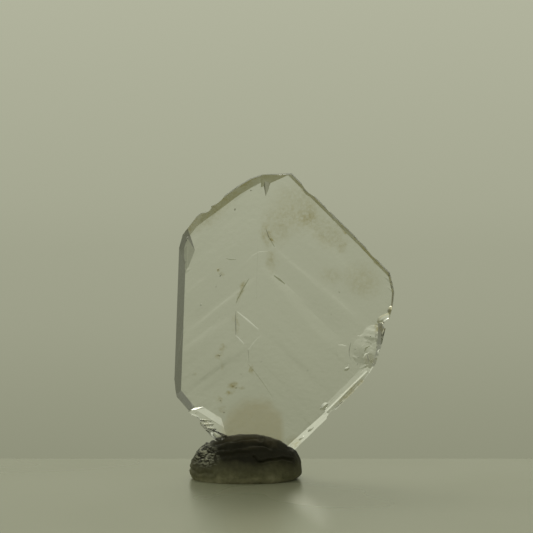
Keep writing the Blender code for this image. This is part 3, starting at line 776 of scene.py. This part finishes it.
# Folds, as (line of (x, z) points at the front, depth as a share of the fold depth, width). Beside each
# fold, lip widths away, the putty stands up by a share of its depth.
FOLDS = (
    (((-11.4, 1.25), (-9.9, 1.05), (-8.2, 1.20)), 0.45, 0.14),
    (((-10.2, 2.2), (-9.0, 3.25), (-8.1, 3.62), (-6.2, 4.0), (-3.6, 4.25), (-1.6, 4.1)), 1.0, 0.15),
    (((-8.6, 3.95), (-6.6, 4.45), (-4.6, 4.75), (-2.6, 4.7)), 0.8, 0.12),
    (((-3.4, 2.95), (-2.95, 2.55), (-1.8, 2.60), (-0.2, 2.80), (0.9, 2.45)), 0.8, 0.09),
    (((-9.6, 2.9), (-7.4, 3.0), (-5.8, 3.35), (-4.0, 3.45)), 0.45, 0.16),
)
LIP_DISTANCE, LIP_SHARE = 2.6, 0.35
FOLD_WANDER, FOLD_WANDER_GRAIN, FOLD_SEED = 0.25, 0.8, Vector((3.0, 0.0, 0.0))
FRONT_END, BACK_FOLD_SHARE = 0.35, 0.4  # the back, beyond this share of the depth, has weaker folds
# The shiny wrinkles, as (x, z, half width, half height), and how often they change.
SHINY_PATCH = (-9.0, 3.0, 1.35, 1.15)
CRUMPLE_GRAIN, CREASE_GRAIN = (2.0, 1.0, 3.6), 3.4


def segment_distance(point, start, end):
    along = end - start
    offset = point - start
    share = min(1.0, max(0.0, offset.dot(along) / along.length_squared))
    return (offset - along * share).length


def fold_depth(place):
    """How deep the folds are at an (x, z) place, as a share of the fold depth."""
    total = 0.0
    for line, depth, width in FOLDS:
        corners = [Vector(corner) for corner in line]
        nearest = min(segment_distance(place, a, b) for a, b in zip(corners, corners[1:])) / width
        total += depth * (exp(-(nearest**2)) - LIP_SHARE * exp(-((nearest - LIP_DISTANCE) ** 2)))
    return total


def shiny_share(place):
    """How wrinkled the putty is at an (x, z) place, from 0 to 1."""
    x, z, half_width, half_height = SHINY_PATCH
    away = ((place.x - x) / half_width) ** 2 + ((place.y - z) / half_height) ** 2
    return exp(-(away**2))


def lump_point(way):
    """Where the smooth lump's surface is in a direction from its middle, in millimetres."""
    rightness = (way.x + 1.0) / 2.0
    swell = LUMP_SWELL_LEFT + (LUMP_SWELL_RIGHT - LUMP_SWELL_LEFT) * rightness
    below = LUMP_BELOW_LEFT + (LUMP_BELOW_RIGHT - LUMP_BELOW_LEFT) * rightness
    way = way * sum(abs(part) ** swell for part in way) ** (-1.0 / swell)
    rise = LUMP_TOP - LUMP_GIRTH_HEIGHT if way.z > 0 else below
    x, y = LUMP_CENTRE[0] + way.x * LUMP_HALF_WIDTH, LUMP_CENTRE[1] + way.y * LUMP_HALF_DEPTH
    return Vector((x, y, LUMP_GIRTH_HEIGHT + way.z * rise)), way


def lump_relief(point, way, settings):
    """How far the kneaded surface stands out from the smooth lump, in metres."""
    place = Vector((point.x, point.z))
    uneven = sum(height * noise.noise(point * grain) for height, grain in LUMP_UNEVENNESS + FINE_UNEVENNESS)
    wander = FOLD_WANDER * noise.noise(point * FOLD_WANDER_GRAIN + FOLD_SEED)
    folds = fold_depth(place + Vector((0.0, wander))) * (1.0 if way.y < FRONT_END else BACK_FOLD_SHARE)
    top = min(1.0, max(0.0, (point.z - LAYERS_FROM) / (LAYERS_FULL - LAYERS_FROM)))
    wander = LAYER_WANDER * noise.noise(point * LAYER_WANDER_GRAIN)
    layers = sin((point.z - LAYER_DROP * point.x + wander) * LAYER_PITCH)
    layers *= LAYER_HEIGHT * top * (0.5 + noise.noise(point * LAYER_FADE_GRAIN))
    crumple = noise.noise(Vector(part * grain for part, grain in zip(point, CRUMPLE_GRAIN))) ** 2
    crumple -= abs(noise.noise(point * CREASE_GRAIN))
    wrinkles = settings.wrinkle_depth * shiny_share(place) * crumple
    return (uneven + layers) * MM + wrinkles - settings.fold_depth * folds


class JAPANLAW_OT_putty(bpy.types.Operator):
    """Build the kneaded lump of putty that holds the crystal"""

    bl_idname = "japanlaw.putty"
    bl_label = "Mounting putty"

    def execute(self, context):
        settings = context.scene.japanlaw_putty
        bm = bmesh.new()
        bmesh.ops.create_icosphere(bm, subdivisions=settings.detail, radius=1.0)
        for vert in bm.verts:
            point, way = lump_point(vert.co)
            vert.co = point * MM + vert.normal * lump_relief(point, way, settings)
        cut = bmesh.ops.bisect_plane(
            bm,
            geom=[*bm.verts, *bm.edges, *bm.faces],
            dist=SAME_PLACE,
            plane_co=(0, 0, 0),
            plane_no=(0, 0, -1),
            clear_outer=True,
        )
        rim = [part for part in cut["geom_cut"] if isinstance(part, bmesh.types.BMEdge)]
        bmesh.ops.contextual_create(bm, geom=rim)
        bmesh.ops.recalc_face_normals(bm, faces=bm.faces)
        for face in bm.faces:
            face.smooth = len(face.verts) < 5
        piece = new_piece("kneaded_putty", bm, putty_material(settings))
        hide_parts("mounting_putty")
        return {"FINISHED"}


# Heights of the putty's colours in millimetres: the foot and the lower part, which are paler as painted
# bounce light from the floor below, the darker top and the rim on top.
FOOT_BOUNCE_TONE, LOWER_BOUNCE_TONE, DARK_TONES, RIM_TONE = 0.9, 2.0, (4.1, 5.3), 6.3
TONE_CLOUD_SIZE, TONE_DRIFT = 2.2, 2.4  # how often and how far these heights wander
GRAIN_SIZE, GRAIN_LEVELS = 0.45, (0.3, 0.7, 0.82, 1.15)
GRAIN_BUMP, GRAIN_BUMP_STRENGTH = 0.02, 0.6
SHEEN_SIZE = (2.0, 1.7)  # half width and half height of the darker, shinier colour of the wrinkles
SHEEN_FADE = (-0.5, 2.0)  # it grows weak toward the back, between these depths in millimetres
BACK_SHEEN = 0.25
# The pale streaks on the wrinkles are painted highlights: a reflection of the bright sky, painted into the
# colour.
HIGHLIGHT_STREAK_SIZES, HIGHLIGHT_STREAK_LEVELS = (0.55, 0.9, 0.25), (0.47, 0.60, 0.0, 1.0)
DULL_ROUGHNESS, SHINY_ROUGHNESS = 0.60, 0.32
PUTTY_SPECULAR = 0.26


def putty_material(settings):
    """Kneaded mineral tack, pressed by hand: dark olive grey and dull, darker toward its folded top and paler
    toward the foot as painted bounce light from the floor below, with a fine mottle, an oily sheen where it
    is wrinkled, and pale streaks there that are painted highlights."""
    material, add, shader = new_material("Mineral tack, kneaded by hand")
    coords = add("TexCoord", out="Object")
    place = add("SeparateXYZ", [coords], out=None)
    clouds = {"Vector": coords, "Scale": 1 / (TONE_CLOUD_SIZE * MM), "Detail": 4.0}
    clouds = add("TexNoise", clouds, out="Fac")
    height = add("Math", [clouds, TONE_DRIFT * MM, place.outputs["Z"]], operation="MULTIPLY_ADD")
    height = add("MapRange", [height, 0.0, RIM_TONE * MM])
    # Paler toward the foot as painted bounce light from the floor below, darker toward the top.
    tones = [
        (FOOT_BOUNCE_TONE, settings.foot_bounce_colour),
        (LOWER_BOUNCE_TONE, settings.lower_bounce_colour),
        *((dark, settings.dark_colour) for dark in DARK_TONES),
        (RIM_TONE, settings.rim_colour),
    ]
    stops = [(level / RIM_TONE, (*colour, 1.0)) for level, colour in tones]
    tone = add("ValToRGB", [height], stops=stops)
    grain = add("TexNoise", {"Vector": coords, "Scale": 1 / (GRAIN_SIZE * MM), "Detail": 3.0}, out="Fac")
    shade = add("MapRange", [grain, *GRAIN_LEVELS])
    colour = add("VectorMath", [tone, shade], operation="MULTIPLY")

    sheen = spot(add, coords, SHINY_PATCH[0], SHINY_PATCH[1], *SHEEN_SIZE, 1.0)
    front = add("MapRange", [place.outputs["Y"], SHEEN_FADE[0] * MM, SHEEN_FADE[1] * MM, 1.0, BACK_SHEEN])
    sheen = add("Math", [sheen, front], operation="MULTIPLY")
    colour = add("Mix", {0: sheen, 6: colour, 7: (*settings.dark_colour, 1.0)}, data_type="RGBA", out=2)
    # Pale streaks 0.25 mm across on the shiny wrinkles: painted highlights.
    often = tuple(1 / (size * MM) for size in HIGHLIGHT_STREAK_SIZES)
    highlight_streaks = add("VectorMath", [coords, often], operation="MULTIPLY")
    highlight_streaks = add("TexNoise", {"Vector": highlight_streaks, "Scale": 1.0, "Detail": 3.0, "Distortion": 0.8}, out="Fac")
    highlight_streaks = add("MapRange", [highlight_streaks, *HIGHLIGHT_STREAK_LEVELS])
    highlight_streaks = add("Math", [highlight_streaks, sheen], operation="MULTIPLY")
    colour = add("Mix", {0: highlight_streaks, 6: colour, 7: (*settings.highlight_streak_colour, 1.0)}, data_type="RGBA", out=2)
    rough = add("MapRange", [sheen, 0.0, 1.0, DULL_ROUGHNESS, SHINY_ROUGHNESS])
    bump = add("Bump", {"Height": grain, "Distance": GRAIN_BUMP * MM, "Strength": GRAIN_BUMP_STRENGTH})
    feed(shader, {"Base Color": colour, "Roughness": rough, "Normal": bump})
    feed(shader, {"Specular IOR Level": PUTTY_SPECULAR})
    return material


# ---------------------------------------------------------------------------------------------- stage

VIEW_PIXELS = 533
PIXEL = 0.11455 * MM  # what one pixel spans at the plate
VIEW_CENTRE = Vector((-17.5 * PIXEL, 0.0, 213.5 * PIXEL))
# The board under the twin and the table under it, as (width, depth, thickness, y of the back edge, top), in
# metres, and how rough each is.
BOARD, BOARD_ROUGHNESS = (0.24, 0.28, 0.030, 0.0166, 0.0), (0.22, 0.29)
TABLE, TABLE_ROUGHNESS = (0.27, 0.62, 0.020, 0.222, -0.030), (0.7, 0.8)
SLAB_ROUNDING, SLAB_ROUNDING_STEPS = 0.8 * MM, 4
SLAB_PATTERN_SIZE, SLAB_PATTERN_LEVELS = 30.0, (0.3, 0.7)
SOFTBOX_PLACE, SOFTBOX_SIZES, SOFTBOX_COLOUR = (-0.08, 0.26, 0.36), (0.22, 0.14), "#FFFDF0"
SENSOR = 36.0
CLIP = (0.01, 10.0)
# The backdrop's colour by elevation in degrees. The dimming says how much light comes from aside, as (share
# of x, share of light), and from the front and back, as (y, share of light).
BACKDROP = (
    (-90, "#2E2F26"),
    (-35, "#4A4B3F"),
    (-20, "#666856"),
    (-13, "#7D7F6A"),
    (-9.5, "#8A8C76"),
    (-7.1, "#949680"),
    (-5.2, "#9D9F89"),
    (-3.6, "#A1A38D"),
    (-2.5, "#A6A892"),
    (1.8, "#B1B39D"),
    (10, "#C4C6B0"),
    (35, "#D2D4BE"),
    (90, "#C0C2AE"),
)
SIDE_DIMMING = ((0.0, 1.0), (0.11, 1.0), (0.28, 0.80), (0.5, 0.60), (0.78, 0.44), (1.0, 0.36))
FRONT_DIMMING = ((-1.0, 0.60), (-0.3, 0.60), (0.4, 1.0), (1.0, 1.0))
SIDE_TILT = 0.45  # how much higher the sides' dimming reaches on the right than on the left
SIDE_FADE = (0.34, 0.60)  # the height where it fades out
FLAG = (0.58, 0.74, 0.34)  # way to the middle of a dark flag at the upper right
FLAG_EDGE = (0.962, 0.985)  # cosines of the angles from its middle where it fades in
FLAG_SHADE = 0.42


def build_world():
    """A backdrop lit from above: bright behind and above, dim below, at the sides and in front."""
    world = bpy.data.worlds.new("Graded backdrop")
    world.use_nodes = True
    add = partial(add_node, world.node_tree)
    way = add("TexCoord", out="Generated")
    parts = add("SeparateXYZ", [way], out=None)
    rise = add("MapRange", [parts.outputs["Z"], -1.0, 1.0])
    stops = [((sin(radians(angle)) + 1) / 2, (*linear(colour), 1.0)) for angle, colour in BACKDROP]
    light = add("ValToRGB", [rise], stops=stops)
    aside = add("Math", [parts.outputs["X"]], operation="ABSOLUTE")
    stops = [(place, grey(value)) for place, value in SIDE_DIMMING]
    sides = add("ValToRGB", [aside], stops=stops)
    leaned = add("Math", [parts.outputs["X"], -SIDE_TILT, parts.outputs["Z"]], operation="MULTIPLY_ADD")
    fade = add("MapRange", [leaned, *SIDE_FADE], interpolation_type="SMOOTHSTEP")
    sides = add("Mix", {0: fade, 6: sides, 7: grey(1.0)}, data_type="RGBA", out=2)
    ahead = add("MapRange", [parts.outputs["Y"], -1.0, 1.0])
    stops = [((place + 1) / 2, grey(value)) for place, value in FRONT_DIMMING]
    front = add("ValToRGB", [ahead], stops=stops)
    for dimming in (sides, front):
        light = add("VectorMath", [light, dimming], operation="MULTIPLY")
    middle = Vector(FLAG).normalized()
    toward = add("VectorMath", [way, middle], operation="DOT_PRODUCT", out="Value")
    flag = add("MapRange", [toward, *FLAG_EDGE, 1.0, FLAG_SHADE], interpolation_type="SMOOTHSTEP")
    light = add("VectorMath", [light, flag], operation="MULTIPLY")
    feed(world.node_tree.nodes["Background"], {"Color": light})
    bpy.context.scene.world = world


def stage_slab(name, sizes, material):
    """A slab of the stage whose upper edges are rounded."""
    width, depth, thickness, back, top = sizes
    middle = top - thickness / 2
    bm = bmesh.new()
    bmesh.ops.create_cube(bm, size=1.0)
    bmesh.ops.scale(bm, vec=(width, depth, thickness), verts=bm.verts)
    bmesh.ops.translate(bm, vec=(0.0, back - depth / 2, middle), verts=bm.verts)
    upper = [edge for edge in bm.edges if all(vert.co.z > middle for vert in edge.verts)]
    bmesh.ops.bevel(
        bm, geom=upper, offset=SLAB_ROUNDING, segments=SLAB_ROUNDING_STEPS, affect="EDGES", profile=0.5
    )
    slab = new_object(name, bm, material)


def slab_material(name, colour, roughness):
    """A plain painted board. Its roughness drifts between two values over 30 mm."""
    material, add, shader = new_material(name)
    coords = add("TexCoord", out="Object")
    clouds = {"Vector": coords, "Scale": 1 / (SLAB_PATTERN_SIZE * MM), "Detail": 2.0}
    clouds = add("TexNoise", clouds, out="Fac")
    rough = add("MapRange", [clouds, *SLAB_PATTERN_LEVELS, *roughness])
    feed(shader, {"Roughness": rough, "Base Color": (*colour, 1.0)})
    return material


def build_floor(settings):
    """A pale board with a satin lacquer that mirrors softly, on a dull table."""
    lacquer = slab_material("Satin lacquered board", settings.floor_colour, BOARD_ROUGHNESS)
    stage_slab("floor", BOARD, lacquer)
    stage_slab("table", TABLE, slab_material("Matt painted table", settings.table_colour, TABLE_ROUGHNESS))


def build_softbox(settings):
    lamp = bpy.data.lights.new("softbox", "AREA")
    lamp.shape = "RECTANGLE"
    lamp.size, lamp.size_y = SOFTBOX_SIZES
    lamp.energy = settings.lamp_power
    lamp.color = linear(SOFTBOX_COLOUR)
    softbox = bpy.data.objects.new("softbox", lamp)
    softbox.location = SOFTBOX_PLACE
    aim = VIEW_CENTRE - softbox.location
    softbox.rotation_euler = aim.to_track_quat("-Z", "Y").to_euler()
    bpy.context.scene.collection.objects.link(softbox)


def build_camera(settings):
    distance, elevation = settings.camera_distance, settings.camera_elevation
    lens = bpy.data.cameras.new("camera")
    lens.sensor_width = SENSOR
    lens.lens = SENSOR * distance / (VIEW_PIXELS * PIXEL)
    lens.clip_start, lens.clip_end = CLIP
    camera = bpy.data.objects.new("camera", lens)
    camera.location = VIEW_CENTRE + distance * Vector((0.0, -cos(elevation), sin(elevation)))
    camera.rotation_euler = (pi / 2 - elevation, 0.0, 0.0)
    bpy.context.scene.collection.objects.link(camera)
    bpy.context.scene.camera = camera


class JAPANLAW_OT_stage(bpy.types.Operator):
    """Set the floor, backdrop, softbox and camera"""

    bl_idname = "japanlaw.stage"
    bl_label = "Stage"

    def execute(self, context):
        settings = context.scene.japanlaw_stage
        build_world()
        build_floor(settings)
        build_softbox(settings)
        build_camera(settings)
        context.scene.view_settings.view_transform = "Standard"
        return {"FINISHED"}


class JAPANLAW_PT_panel(bpy.types.Panel):
    """Lists the operators and settings of the twin"""

    bl_idname = "JAPANLAW_PT_panel"
    bl_label = "Quartz Twin"
    bl_space_type = "VIEW_3D"
    bl_region_type = "UI"
    bl_category = "Quartz Twin"

    def draw(self, context):
        groups = (
            (context.scene.japanlaw_quartz, JAPANLAW_OT_quartz),
            (context.scene.japanlaw_putty, JAPANLAW_OT_putty),
            (context.scene.japanlaw_stage, JAPANLAW_OT_stage),
        )
        for settings, operator in groups:
            box = self.layout.box()
            box.operator(operator.bl_idname)
            for name in settings.__annotations__:
                box.prop(settings, name)


SETTINGS = {
    "japanlaw_quartz": QuartzSettings,
    "japanlaw_putty": PuttySettings,
    "japanlaw_stage": StageSettings,
}
CLASSES = (
    QuartzSettings,
    PuttySettings,
    StageSettings,
    JAPANLAW_OT_quartz,
    JAPANLAW_OT_putty,
    JAPANLAW_OT_stage,
    JAPANLAW_PT_panel,
)


def register():
    for cls in CLASSES:
        bpy.utils.register_class(cls)
    for name, cls in SETTINGS.items():
        setattr(bpy.types.Scene, name, PointerProperty(type=cls))


def unregister():
    for name in SETTINGS:
        delattr(bpy.types.Scene, name)
    for cls in reversed(CLASSES):
        bpy.utils.unregister_class(cls)


def main():
    register()
    bpy.ops.japanlaw.stage()
    bpy.ops.japanlaw.quartz()
    bpy.ops.japanlaw.putty()


if __name__ == "__main__":
    main()
